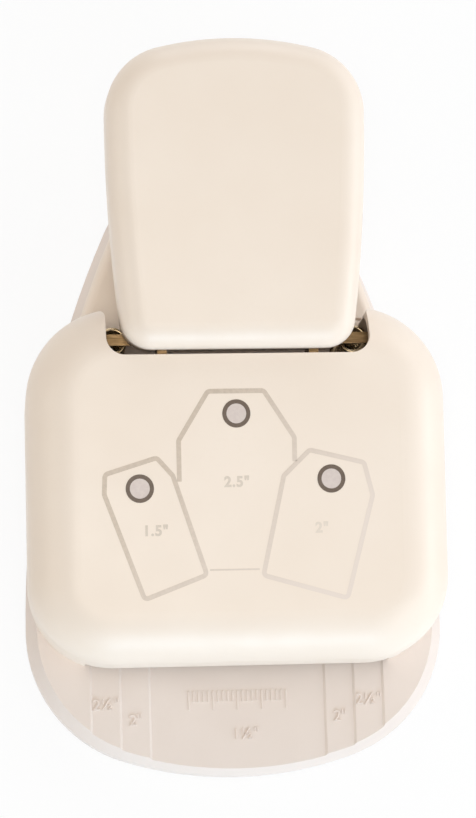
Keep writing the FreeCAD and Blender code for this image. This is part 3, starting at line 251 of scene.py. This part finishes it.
# Scales of the textures, in features per metre.
PLASTIC_DRIFT = 38
PLASTIC_SPECKS = 900
PLASTIC_SHEEN = 160
PLASTIC_GRAIN = 2600
PLASTIC_RIPPLE = 70
RUBBER_BLOOM = 400
RUBBER_SHEEN = 300
RUBBER_GRAIN = 1500
METAL_BLOTCHES = 180
INK_COVER = 1400
INK_DRIFT = 60
INK_SHEEN = 500
INK_GRAIN = 2400

# Heights of the fine relief, in metres.
GRAIN_RELIEF = 0.00003
RIPPLE_RELIEF = 0.0004
RUBBER_RELIEF = 0.00008
LINE_RELIEF = 0.00002

PLASTIC_INDEX = 1.5


def plastic(name, colour, shade, rough, grain):
    """Moulded plastic: slow drift of colour, faint specks, a fine spark-eroded grain."""
    t = Tree(name)
    drift = t.spread(t.noise(PLASTIC_DRIFT, 3.0), 0.0, 1.0, 0.3, 0.7)
    speck = t.spread(t.noise(PLASTIC_SPECKS, 2.0), 0.0, 0.35, 0.55, 0.8)
    first = t.mix(drift, linear(*colour), linear(*shade))
    t.set("Base Color", t.mix(speck, first, linear(*shade)))
    t.set("Roughness", t.spread(t.noise(PLASTIC_SHEEN, 4.0), *rough, 0.3, 0.7))
    t.set("IOR", PLASTIC_INDEX)
    fine = t.bump(t.noise(PLASTIC_GRAIN, 3.0, 0.6), grain, GRAIN_RELIEF)
    t.set("Normal", t.bump(t.noise(PLASTIC_RIPPLE, 2.0), 0.08, RIPPLE_RELIEF, fine))
    return t.material


def rubber(name):
    """Dull moulded rubber with a dusty bloom."""
    t = Tree(name)
    t.set("Base Color", t.mix(t.noise(RUBBER_BLOOM, 4.0), linear(58, 56, 54), linear(74, 71, 68)))
    t.set("Roughness", t.spread(t.noise(RUBBER_SHEEN, 3.0), 0.72, 0.9))
    t.set("Normal", t.bump(t.noise(RUBBER_GRAIN, 4.0, 0.7), 0.5, RUBBER_RELIEF))
    return t.material


def metal(name, colour, shade, rough, stretch, grain):
    """Metal with drawn, ground or plated lines along one direction."""
    t = Tree(name)
    lines = t.noise(1.0, 3.0, 0.6, t.stretch(*stretch))
    blotch = t.noise(METAL_BLOTCHES, 4.0)
    first = t.mix(t.spread(lines, 0, 1, 0.35, 0.65), linear(*colour), linear(*shade))
    t.set("Base Color", t.mix(t.spread(blotch, 0, 0.5, 0.5, 0.75), first, linear(*shade)))
    t.set("Metallic", 1.0)
    t.set("Roughness", t.spread(lines, *rough, 0.3, 0.7))
    t.set("Normal", t.bump(lines, grain, LINE_RELIEF))
    return t.material


# Painted light: the print is made paler along this direction, towards the lit right front, between these
# two places in metres.
PAINTED_LIGHT_WAY = (0.78, -0.63, 0)
PAINTED_LIGHT_SPAN = (-0.004, 0.036)


def ink(name, colour, shade, rough, painted_light_tone=None):
    """Screen-printed ink: uneven cover on the plastic, and painted light that makes it paler towards the
    lit right front.
    """
    t = Tree(name)
    cover = t.spread(t.noise(INK_COVER, 3.0, 0.6), 0.0, 1.0, 0.42, 0.6)
    slow = t.spread(t.noise(INK_DRIFT, 2.0), 0.0, 0.6, 0.35, 0.7)
    first = t.mix(cover, linear(*colour), linear(*shade))
    first = t.mix(slow, first, linear(*shade))
    # Painted light: the ink is blended paler towards the right front, where the lamps light it.
    if painted_light_tone:
        along = t.add("ShaderNodeVectorMath", operation="DOT_PRODUCT")
        t.put(t.place, along.inputs[0])
        t.put(PAINTED_LIGHT_WAY, along.inputs[1])
        first = t.mix(t.spread(along.outputs["Value"], 0.0, 1.0, *PAINTED_LIGHT_SPAN), first, linear(*painted_light_tone))
    t.set("Base Color", first)
    t.set("Roughness", t.spread(t.noise(INK_SHEEN, 2.0), *rough))
    t.set("Normal", t.bump(t.noise(INK_GRAIN, 2.0), 0.2, LINE_RELIEF))
    return t.material


def make_floor():
    mesh = bpy.data.meshes.new("floor")
    corners = [(x * FLOOR_REACH, y * FLOOR_REACH, 0) for x, y in ((-1, -1), (1, -1), (1, 1), (-1, 1))]
    mesh.from_pydata(corners, [], [(0, 1, 2, 3)])
    floor = show(bpy.data.objects.new("floor", mesh))
    t = Tree("floor")
    t.set("Base Color", t.mix(t.noise(FLOOR_CLOUDS, 2.0), *FLOOR_TONES))
    t.set("Roughness", 0.9)
    t.set("Specular IOR Level", 0.1)
    glow = t.add("ShaderNodeEmission")
    glow.inputs["Strength"].default_value = 1.0
    share = t.add("ShaderNodeMath", operation="MULTIPLY")
    t.put(seen_directly(t.tree), share.inputs[0])
    t.put(FLOOR_GLOW, share.inputs[1])
    blend = t.add("ShaderNodeMixShader")
    t.put(share.outputs[0], blend.inputs[0])
    t.put(t.shader.outputs[0], blend.inputs[1])
    t.put(glow.outputs[0], blend.inputs[2])
    t.put(blend.outputs[0], t.output.inputs["Surface"])
    mesh.materials.append(t.material)


# Each plastic: colour, shade, lowest and highest roughness, strength of the grain.
PLASTICS = {
    "cream_plastic": ((240, 226, 212), (237, 222, 207), (0.36, 0.46), 0.22),
    "beige_plastic": ((232, 220, 212), (228, 215, 206), (0.42, 0.52), 0.3),
}
# Each metal: colour, shade, lowest and highest roughness, surface lines per metre along X, Y and Z
# (few where the lines run that way), strength of the lines.
METALS = {
    # plated_steel's dark brown is darker than the steel itself, to stand in for the shade inside the
    # notch: painted shade on a steel colour.
    "plated_steel": ((128, 106, 78), (96, 78, 54), (0.30, 0.45), (300, 6000, 6000), 0.15),
    "tool_steel": ((176, 177, 176), (150, 150, 149), (0.22, 0.36), (6000, 500, 6000), 0.15),
    "bright_steel": ((212, 212, 210), (196, 196, 193), (0.12, 0.22), (3000, 400, 3000), 0.08),
    "screw_steel": ((182, 182, 178), (158, 157, 152), (0.25, 0.38), (2500, 2500, 2500), 0.15),
    "spring_steel": ((198, 180, 150), (160, 140, 108), (0.20, 0.34), (900, 900, 900), 0.15),
    "zinc_casting": ((166, 166, 164), (140, 140, 138), (0.42, 0.60), (1800, 1800, 1800), 0.5),
}
# Each ink: colour, shade, lowest and highest roughness, and the paler colour that painted light turns it
# to towards the lit right front.
INKS = {
    "tag_line_ink": ((192, 176, 160), (203, 187, 171), (0.30, 0.42), (228, 214, 203)),
    "ring_ink": ((88, 72, 60), (98, 82, 70), (0.35, 0.45)),
    "ring_fill_ink": ((206, 192, 186), (212, 199, 192), (0.30, 0.42)),
    "digit_ink": ((202, 188, 174), (210, 197, 183), (0.35, 0.45), (228, 215, 201)),
}
materials = {name: plastic(name, *look) for name, look in PLASTICS.items()}
materials["rubber"] = rubber("rubber")
materials.update({name: metal(name, *look) for name, look in METALS.items()})
inks = {name: ink(name, *look) for name, look in INKS.items()}


def dress_nodes():
    slot_of = {part["node"]: part["material_slot"] for part in record["subparts"]}
    for name, thing in nodes.items():
        thing.data.materials.clear()
        thing.data.materials.append(materials[slot_of[name]])


def new_piece(name, points, faces, material, body, slot, smooth=False):
    """A mesh piece from points in millimetres, which rides on a body."""
    mesh = bpy.data.meshes.new(name)
    mesh.from_pydata([Vector(point) * MM for point in points], [], faces)
    return finish_piece(name, mesh, material, body, smooth)


def finish_piece(name, mesh, material, body, smooth=False):
    mesh.name = name
    mesh.materials.clear()
    mesh.materials.append(material)
    mesh.polygons.foreach_set("use_smooth", [smooth] * len(mesh.polygons))
    mesh.update()
    thing = show(bpy.data.objects.new(name, mesh))
    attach(thing, body)
    return thing


SMOOTH_ANGLE = 35


def crease(thing, degrees=SMOOTH_ANGLE):
    """Keeps the edges sharper than the angle crisp on a smooth piece."""
    edges = bmesh.new()
    edges.from_mesh(thing.data)
    for edge in edges.edges:
        edge.smooth = edge.calc_face_angle(0) < math.radians(degrees)
    edges.to_mesh(thing.data)
    edges.free()
    return thing


MERGE_DECIMALS = 3


def solids(node, turn=None):
    """Boxes, in millimetres, of the separate solids in a node, after a turn of its points."""
    mesh = nodes[node].data
    points = [vertex.co / MM for vertex in mesh.vertices]
    if turn is not None:
        points = [turn @ point for point in points]
    keys = [tuple(round(value, MERGE_DECIMALS) for value in point) for point in points]
    owner = {key: key for key in keys}

    def root(key):
        while owner[key] != key:
            owner[key] = owner[owner[key]]
            key = owner[key]
        return key

    for polygon in mesh.polygons:
        first = root(keys[polygon.vertices[0]])
        for index in polygon.vertices[1:]:
            owner[root(keys[index])] = first
    boxes = {}
    for key in owner:
        low, high = boxes.get(root(key), (key, key))
        boxes[root(key)] = (tuple(map(min, low, key)), tuple(map(max, high, key)))
    return sorted(boxes.values())


# Turned profiles start this close to their axis, so that their ends are faces and not points.
CORE = 0.01


def lathe(profile, count=48):
    """Points and faces of a profile of (radius, height) turned about Z, closed at both ends."""
    points = []
    for radius, height in profile:
        for index in range(count):
            angle = 2 * math.pi * index / count
            points.append((radius * math.cos(angle), radius * math.sin(angle), height))
    faces = []
    for row in range(len(profile) - 1):
        for index in range(count):
            after = (index + 1) % count
            low, high = row * count, (row + 1) * count
            faces.append((low + index, low + after, high + after, high + index))
    faces.append(tuple(range(count - 1, -1, -1)))
    last = (len(profile) - 1) * count
    faces.append(tuple(range(last, last + count)))
    return points, faces


def arc(centre, radius, start, end, steps=6):
    """Points of a profile along an arc, in degrees."""
    turns = [math.radians(start + (end - start) * step / steps) for step in range(steps + 1)]
    return [(centre[0] + radius * math.cos(turn), centre[1] + radius * math.sin(turn)) for turn in turns]


def placed(shapes):
    """One list of points and faces from several, each moved to its own place."""
    points = []
    faces = []
    for (some, more), move in shapes:
        start = len(points)
        points += [move @ Vector(point) for point in some]
        faces += [tuple(index + start for index in face) for face in more]
    return points, faces


def middle(low, high):
    return ((low[0] + high[0]) / 2, (low[1] + high[1]) / 2)


FOOT_EDGE = 0.45
FOOT_GROOVES = ((2.0, 2.5), (3.0, 3.5))
GROOVE_DEPTH = 0.25
GROOVE_FLANK = 0.1


def make_feet():
    """Rubber feet with a rounded lower edge and two grip rings."""
    shapes = []
    for low, high in solids("rubber_feet"):
        x, y = middle(low, high)
        radius = (high[0] - low[0]) / 2
        profile = [(CORE, 0)]
        for inner, outer in FOOT_GROOVES:
            floor = [(inner + GROOVE_FLANK, GROOVE_DEPTH), (outer - GROOVE_FLANK, GROOVE_DEPTH)]
            profile += [(inner, 0), *floor, (outer, 0)]
        profile += arc((radius - FOOT_EDGE, FOOT_EDGE), FOOT_EDGE, -90, 0)
        profile += [(radius, high[2]), (CORE, high[2])]
        shapes.append((lathe(profile), Matrix.Translation((x, y, 0))))
    feet = new_piece("rubber_feet_moulded", *placed(shapes), materials["rubber"], "base", "rubber", True)
    crease(feet)
    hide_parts("rubber_feet")


BUMPER_EDGE = 0.9
DISH_RIM = 0.15
DISH_MIDDLE = 0.3


def make_bumpers():
    """The stops under the handle, with a rounded rim and a slight dish on top."""
    shapes = []
    for low, high in solids("deck_bumpers"):
        x, y = middle(low, high)
        radius = (high[0] - low[0]) / 2
        top = high[2]
        profile = [(CORE, low[2]), (radius, low[2]), (radius, top - BUMPER_EDGE)]
        profile += arc((radius - BUMPER_EDGE, top - BUMPER_EDGE), BUMPER_EDGE, 0, 90)
        profile += [(radius - 2 * BUMPER_EDGE, top - DISH_RIM), (CORE, top - DISH_MIDDLE)]
        shapes.append((lathe(profile), Matrix.Translation((x, y, 0))))
    rubber_look = materials["rubber"]
    bumpers = new_piece("deck_bumpers_moulded", *placed(shapes), rubber_look, "base", "rubber", True)
    crease(bumpers)
    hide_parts("deck_bumpers")


SCREW_RADIUS = 1.25
SCREW_HEAD = 2.3
SCREW_HEAD_HEIGHT = 1.1
SCREW_EDGE_WIDTH = 0.06
SCREW_EDGE_HEIGHT = 0.08
SCREW_TIP_RADIUS = 0.4
SCREW_TIP_LENGTH = 0.6
RECESS_REACH = 1.35
RECESS_HALF = 0.32
RECESS_DEPTH = 0.85
RECESS_TAPER = 0.45
# Each screw's recess is turned further than the one before, in degrees.
FIRST_TURN = 17
NEXT_TURN = 31
SCREW_SMOOTH_ANGLE = 30


def cross_outline(reach, half, turn):
    """The twelve corners of a cross, turned about the middle."""
    quarter = [(reach, -half), (reach, half), (half, half)]
    corners = []
    for step in range(4):
        spin = Matrix.Rotation(math.radians(turn + 90 * step), 2)
        corners += [spin @ Vector(corner) for corner in quarter]
    return corners


def screw_shape(length, turn, count=36):
    """A countersunk screw whose head, with its cross recess, faces down at height 0."""
    head = [(SCREW_HEAD - SCREW_EDGE_WIDTH, 0), (SCREW_HEAD, SCREW_EDGE_HEIGHT)]
    shank = [(SCREW_RADIUS, SCREW_HEAD_HEIGHT), (SCREW_RADIUS, length - SCREW_TIP_LENGTH)]
    points, faces = lathe([*head, *shank, (SCREW_TIP_RADIUS, length)], count)
    del faces[-2]
    rim = [Vector(point) for point in points[:count]]
    mouth = [corner.to_3d() for corner in cross_outline(RECESS_REACH, RECESS_HALF, turn)]
    ends = (RECESS_REACH * RECESS_TAPER, RECESS_HALF * RECESS_TAPER)
    depth = Vector((0, 0, RECESS_DEPTH))
    floor = [corner.to_3d() + depth for corner in cross_outline(*ends, turn)]
    first = len(points)
    points += [tuple(point) for point in mouth + floor]
    index_of = list(range(count)) + list(range(first, first + len(mouth)))
    for face in tessellate_polygon([rim, mouth]):
        faces.append(tuple(index_of[index] for index in reversed(face)))
    sides = len(mouth)
    for index in range(sides):
        after = (index + 1) % sides
        faces.append((first + after, first + index, first + sides + index, first + sides + after))
    faces.append(tuple(range(first + sides, first + 2 * sides)))
    return points, faces


def make_screws(node, body, raised=0.0):
    """The screws of a node, each with its head down, where the node's own solids are."""
    turn = Matrix.Translation(PIVOT) @ Matrix.Rotation(raised, 4, "X") @ Matrix.Translation(-PIVOT)
    shapes = []
    for number, (low, high) in enumerate(solids(node, turn.inverted())):
        x, y = middle(low, high)
        shape = screw_shape(high[2] - low[2], FIRST_TURN + NEXT_TURN * number)
        shapes.append((shape, turn @ Matrix.Translation((x, y, low[2]))))
    points, faces = placed(shapes)
    driven = materials["screw_steel"]
    screws = new_piece(node + "_driven", points, faces, driven, body, "screw_steel", True)
    crease(screws, SCREW_SMOOTH_ANGLE)
    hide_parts(node)


SPRING_WIRE = 0.9
SPRING_TURNS = 9.5
CLOSED_TURNS = 1.0
GROUND_OFF = 0.2
STEPS_A_TURN = 28
WIRE_SIDES = 12


def coil_height(turn, height):
    """Height along the wire: closed turns at both ends and even ones between."""
    closed = SPRING_WIRE * CLOSED_TURNS
    if turn < CLOSED_TURNS:
        return SPRING_WIRE * turn
    if turn > SPRING_TURNS - CLOSED_TURNS:
        return height - SPRING_WIRE * (SPRING_TURNS - turn)
    share = (turn - CLOSED_TURNS) / (SPRING_TURNS - 2 * CLOSED_TURNS)
    return closed + (height - 2 * closed) * share


def make_spring(node):
    """A return spring: one round wire with closed, ground ends."""
    low, high = (Vector(corner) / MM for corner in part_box(node))
    x, y = middle(low, high)
    radius = (high.x - low.x - SPRING_WIRE) / 2
    height = high.z - low.z - SPRING_WIRE
    count = int(SPRING_TURNS * STEPS_A_TURN)
    points = []
    for step in range(count + 1):
        turn = step / STEPS_A_TURN
        angle = 2 * math.pi * turn
        out = Vector((math.cos(angle), math.sin(angle), 0))
        centre = Vector((x, y, low.z + SPRING_WIRE / 2 + coil_height(turn, height))) + out * radius
        for side in range(WIRE_SIDES):
            tilt = 2 * math.pi * side / WIRE_SIDES
            spot = centre + (out * math.cos(tilt) + Vector((0, 0, 1)) * math.sin(tilt)) * SPRING_WIRE / 2
            spot.z = min(max(spot.z, low.z + GROUND_OFF), high.z - GROUND_OFF)
            points.append(spot)
    faces = []
    for step in range(count):
        for side in range(WIRE_SIDES):
            after = (side + 1) % WIRE_SIDES
            a, b = step * WIRE_SIDES, (step + 1) * WIRE_SIDES
            faces.append((a + side, b + side, b + after, a + after))
    faces.append(tuple(range(WIRE_SIDES)))
    faces.append(tuple(range((count + 1) * WIRE_SIDES - 1, count * WIRE_SIDES - 1, -1)))
    wire = materials["spring_steel"]
    spring = new_piece(node + "_wound", points, faces, wire, "base", "spring_steel", True)
    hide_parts(node)
    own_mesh(spring)


PRINT_LIFT = 0.02


def on_cover(x, y, lift):
    """A point over the cover's sloping top."""
    return Vector((x, y, COVER_REAR_HEIGHT - (COVER_REAR - y) * math.tan(COVER_SLOPE) + lift))


def on_platform(x, y, lift):
    """A point over the channel of the platform that holds x."""
    depth = sum(abs(x) < half for half in CHANNELS)
    return Vector((x, y, PLATFORM - depth * CHANNEL_DROP + lift))


def rounded(corners, radius, closed, steps=6):
    """A path whose corners are turned into short curves."""
    count = len(corners)
    points = []
    for index in range(count):
        here = Vector(corners[index])
        if not closed and index in (0, count - 1):
            points.append(here)
            continue
        before = Vector(corners[index - 1]) - here
        after = Vector(corners[(index + 1) % count]) - here
        half = before.angle(after) / 2
        reach = min(radius / math.tan(half), before.length / 2, after.length / 2)
        start = here + before.normalized() * reach
        end = here + after.normalized() * reach
        for step in range(steps + 1):
            share = step / steps
            points.append(start * (1 - share) ** 2 + here * 2 * share * (1 - share) + end * share ** 2)
    return points


def stroke(name, corners, width, material, closed=True, radius=1.0):
    """A printed line of even width along a path on the cover's top."""
    path = rounded(corners, radius, closed)
    count = len(path)
    points = []
    for index, here in enumerate(path):
        before = path[index - 1] if closed or index else here
        after = path[(index + 1) % count] if closed or index < count - 1 else here
        along = (after - before).normalized()
        across = Vector((-along.y, along.x)) * (width / 2)
        for side in (1, -1):
            spot = here + across * side
            points.append(on_cover(spot.x, spot.y, PRINT_LIFT))
    faces = []
    for index in range(count if closed else count - 1):
        a, b = 2 * index, 2 * ((index + 1) % count)
        faces.append((a, a + 1, b + 1, b))
    return new_piece(name, points, faces, material, "base", "cream_plastic")


def disc(name, centre, inner, outer, material, lift, count=72):
    """A printed ring, or a full spot where inner is 0."""
    radii = (inner, outer) if inner else (outer,)
    points = []
    for index in range(count):
        angle = 2 * math.pi * index / count
        for radius in radii:
            x, y = centre[0] + radius * math.cos(angle), centre[1] + radius * math.sin(angle)
            points.append(on_cover(x, y, lift))
    faces = [tuple(range(count))]
    if inner:
        after = [2 * ((index + 1) % count) for index in range(count)]
        faces = [(2 * index, 2 * index + 1, after[index] + 1, after[index]) for index in range(count)]
    return new_piece(name, points, faces, material, "base", "cream_plastic")


LETTER_SHARE = 0.73


def digits(name, text, centre, height, material, place, weight=0.0, space=1.0, thick=0.0, edge=0.0):
    """Plain numbers on a surface given by place(x, y, lift), raised by thick."""
    curve = bpy.data.curves.new(name, "FONT")
    curve.body = text
    curve.align_x = "CENTER"
    curve.align_y = "CENTER"
    curve.size = height / LETTER_SHARE
    curve.space_character = space
    curve.offset = weight
    curve.extrude = thick / 2
    curve.bevel_depth = edge
    curve.resolution_u = 6
    holder = show(bpy.data.objects.new(name + "_text", curve))
    mesh = bpy.data.meshes.new_from_object(holder.evaluated_get(bpy.context.evaluated_depsgraph_get()))
    bpy.data.objects.remove(holder)
    for vertex in mesh.vertices:
        x, y, z = vertex.co
        ground = place(centre[0], centre[1] + y, PRINT_LIFT).z
        vertex.co = Vector((centre[0] + x, centre[1] + y, ground + z + thick / 2)) * MM
    return finish_piece(name, mesh, material, "base")


TAG_LINE = 1.0
TAG_END_LINE = 0.35
LEFT_TAG = [(-28.9, -15.4), (-17.95, -12.05), (-14.6, -15.85),
            (-7.8, -36.7), (-20.95, -41.65), (-29.1, -19.6)]
RIGHT_TAG = [(14.5, -10.85), (26.05, -13.65), (27.75, -20.55),
             (21.9, -42.1), (4.15, -37.0), (8.9, -16.2)]
MIDDLE_TAG = [(-13.25, -17.1), (-13.25, -8.5), (-6.9, 1.8), (5.0, 1.8), (11.3, -8.1), (11.3, -13.2)]
MIDDLE_TAG_END = [(-7.15, -35.7), (3.35, -35.7)]
RINGS = {"left": (-21.6, -18.45), "middle": (-0.9, -2.95), "right": (19.0, -16.95)}
RING_INNER = 2.1
RING_OUTER = 2.98
RING_LAP = 0.1
PRINTED_SIZES = {
    "middle": ("2.5\"", (-1.1, -17.4)),
    "left": ("1.5\"", (-18.45, -27.4)),
    "right": ("2\"", (16.75, -27.3)),
}
PRINTED_HEIGHT = 2.2
PRINTED_WEIGHT = 0.12
PRINTED_SPACE = 1.12


def make_prints():
    """Three tag outlines with their string holes and widths in inches."""
    stroke("print_tag_left", LEFT_TAG, TAG_LINE, inks["tag_line_ink"])
    stroke("print_tag_right", RIGHT_TAG, TAG_LINE, inks["tag_line_ink"])
    stroke("print_tag_middle", MIDDLE_TAG, TAG_LINE, inks["tag_line_ink"], closed=False)
    stroke("print_tag_middle_end", MIDDLE_TAG_END, TAG_END_LINE, inks["tag_line_ink"], closed=False)
    for side, centre in RINGS.items():
        spot = RING_INNER + RING_LAP
        disc("print_ring_fill_" + side, centre, 0, spot, inks["ring_fill_ink"], PRINT_LIFT)
        disc("print_ring_" + side, centre, RING_INNER, RING_OUTER, inks["ring_ink"], 2 * PRINT_LIFT)
    for side, (text, centre) in PRINTED_SIZES.items():
        digits("print_size_" + side, text, centre, PRINTED_HEIGHT, inks["digit_ink"],
               on_cover, PRINTED_WEIGHT, PRINTED_SPACE)


RAISED = 0.22
RAISED_EDGE = 0.07
RAISED_HEIGHT = 2.5
RAISED_WEIGHT = -0.04
RAISED_ROOT = 0.05
TICK_COUNT = 21
TICK_REACH = 10.6
TICK_MIDDLE = -61.15
TICK_WIDTH = 0.42
TICK_LONG = 4.2
TICK_SHORT = 2.4


def ridge(x, y, width, length, rise, edge):
    """A raised bar with sloping flanks, on the platform."""
    low = on_platform(x, y, 0).z
    points = []
    for inset, height in ((0, low - RAISED_ROOT), (0, low + rise - edge), (edge, low + rise)):
        half_x = width / 2 - inset
        half_y = length / 2 - inset
        for across, along in ((-1, -1), (1, -1), (1, 1), (-1, 1)):
            points.append((x + across * half_x, y + along * half_y, height))
    faces = [(8, 9, 10, 11)]
    for row in (0, 4):
        for corner in range(4):
            after = (corner + 1) % 4
            faces.append((row + corner, row + after, row + 4 + after, row + 4 + corner))
    return points, faces


def make_marks():
    """Raised marks on the platform: the guides' widths and a plain scale."""
    beige = materials["beige_plastic"]
    wide, half_way, narrow = CHANNELS
    spots = [("left_wide", "2½\"", (-(wide + half_way) / 2, -61.7)),
             ("right_wide", "2½\"", ((wide + half_way) / 2, -61.7)),
             ("left_middle", "2\"", (-(half_way + narrow) / 2, -65.2)),
             ("right_middle", "2\"", ((half_way + narrow) / 2, -65.2)),
             ("narrow", "1½\"", (1.6, -68.6))]
    for name, text, centre in spots:
        digits("raised_size_" + name, text, centre, RAISED_HEIGHT, beige, on_platform,
               RAISED_WEIGHT, thick=RAISED, edge=RAISED_EDGE)
    still = Matrix.Identity(4)
    ticks = []
    for index in range(TICK_COUNT):
        x = TICK_REACH * (2 * index / (TICK_COUNT - 1) - 1)
        length = TICK_SHORT if index % 5 else TICK_LONG
        y = TICK_MIDDLE + (TICK_LONG - length) / 2
        ticks.append((ridge(x, y, TICK_WIDTH, length, RAISED, RAISED_EDGE), still))
    new_piece("raised_scale", *placed(ticks), beige, "base", "beige_plastic")


make_camera()
make_world()
make_floor()
make_lamps()
dress_nodes()
make_feet()
make_bumpers()
make_screws("case_screws", "base")
make_screws("deck_screws", "base")
make_screws("handle_screws", "lever", PRESS_ANGLE)
make_spring("return_spring_left")
make_spring("return_spring_right")
make_prints()
make_marks()

bpy.context.scene.view_settings.view_transform = "Standard"
